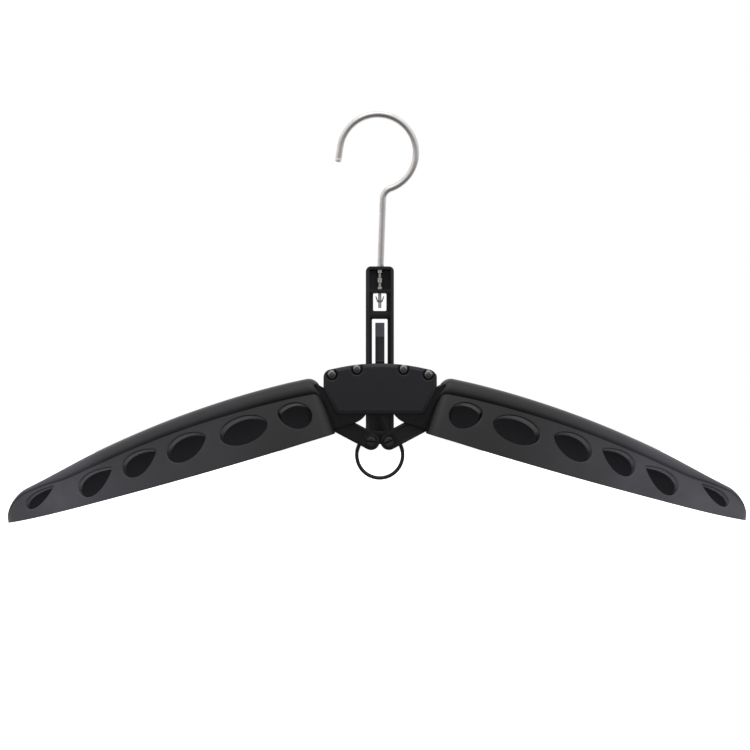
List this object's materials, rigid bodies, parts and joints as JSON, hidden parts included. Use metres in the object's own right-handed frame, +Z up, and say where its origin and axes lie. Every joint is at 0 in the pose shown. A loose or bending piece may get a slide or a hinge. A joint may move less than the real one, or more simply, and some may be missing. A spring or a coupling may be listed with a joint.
{
  "type": "folding wide-shoulder hanger",
  "caption": "Folding wide-shoulder hanger with a swivel wire hook, a sliding housing, link-driven hollow vented arms and a pull ring",
  "frame": {"origin": "where the rail touches the hook's inner top, over the stem's axis", "axes": "+X to the right-hand arm as seen from the front, +Y to the back, +Z up"},
  "size_m": [0.4516, 0.046, 0.2502],
  "materials": {
    "hook_steel": "drawn stainless wire, satin",
    "clip_steel": "bright spring steel",
    "screw_steel": "polished stainless",
    "blackened_screw": "blackened steel",
    "arm_plastic": "satin black moulding",
    "cover_plastic": "fine-grained matte black moulding",
    "stem_plastic": "satin black moulding",
    "latch_plastic": "satin black moulding",
    "link_plastic": "matte black moulding",
    "ring_steel": "blackened wire"
  },
  "bodies": {
    "hook": {"wire_hook": "hook_steel", "swivel_clip": "clip_steel"},
    "stem": {"stem": "stem_plastic", "left_link_screw": "blackened_screw", "right_link_screw": "blackened_screw", "left_link_nut": "blackened_screw", "right_link_nut": "blackened_screw"},
    "latch": {"latch_tongue": "latch_plastic"},
    "housing": {"front_cover": "cover_plastic", "back_cover": "cover_plastic", "cover_screw_1": "screw_steel", "cover_screw_2": "screw_steel", "cover_screw_3": "screw_steel", "cover_screw_4": "screw_steel", "left_pivot_pin": "screw_steel", "right_pivot_pin": "screw_steel"},
    "left_arm": {"left_arm_shell": "arm_plastic", "left_link_pin": "screw_steel"},
    "right_arm": {"right_arm_shell": "arm_plastic", "right_link_pin": "screw_steel"},
    "left_link": {"left_link_front": "link_plastic", "left_link_rear": "link_plastic"},
    "right_link": {"right_link_front": "link_plastic", "right_link_rear": "link_plastic"},
    "ring": {"pull_ring": "ring_steel"}
  },
  "joints": [
    {"name": "hook_swivel", "type": "hinge", "parent": "hook", "child": "stem", "pos_m": [0, 0, -0.0906], "axis": [0, 0, 1], "continuous": true},
    {"name": "latch_press", "type": "hinge", "parent": "stem", "child": "latch", "pos_m": [0, -0.001, -0.1644], "axis": [-1, 0, 0], "range_deg": [0, 4], "stiffness_Nm_per_rad": 1},
    {"name": "housing_slide", "type": "slide", "parent": "stem", "child": "housing", "axis": [0, 0, 1], "range_m": [0, 0.0296]},
    {"name": "left_arm_fold", "type": "hinge", "parent": "housing", "child": "left_arm", "pos_m": [-0.0188, 0, -0.1741], "axis": [0, -1, 0], "range_deg": [0, 62]},
    {"name": "right_arm_fold", "type": "hinge", "parent": "housing", "child": "right_arm", "pos_m": [0.0188, 0, -0.1741], "axis": [0, 1, 0], "range_deg": [0, 62]},
    {"name": "left_link_swing", "type": "hinge", "parent": "stem", "child": "left_link", "pos_m": [-0.00543, 0, -0.197], "axis": [0, 1, 0], "range_deg": [0, 33]},
    {"name": "right_link_swing", "type": "hinge", "parent": "stem", "child": "right_link", "pos_m": [0.00543, 0, -0.197], "axis": [0, -1, 0], "range_deg": [0, 33]},
    {"name": "ring_swing", "type": "hinge", "parent": "stem", "child": "ring", "pos_m": [0, 0, -0.19165], "axis": [1, 0, 0], "range_deg": [-16, 16]}
  ],
  "couplings": [
    {"joint": "right_arm_fold", "follows": "left_arm_fold", "ratio": 1},
    {"joint": "housing_slide", "follows": "left_arm_fold", "m_per_rad": 0.027346},
    {"joint": "left_link_swing", "follows": "left_arm_fold", "ratio": 0.5285},
    {"joint": "right_link_swing", "follows": "left_arm_fold", "ratio": 0.5285}
  ]
}
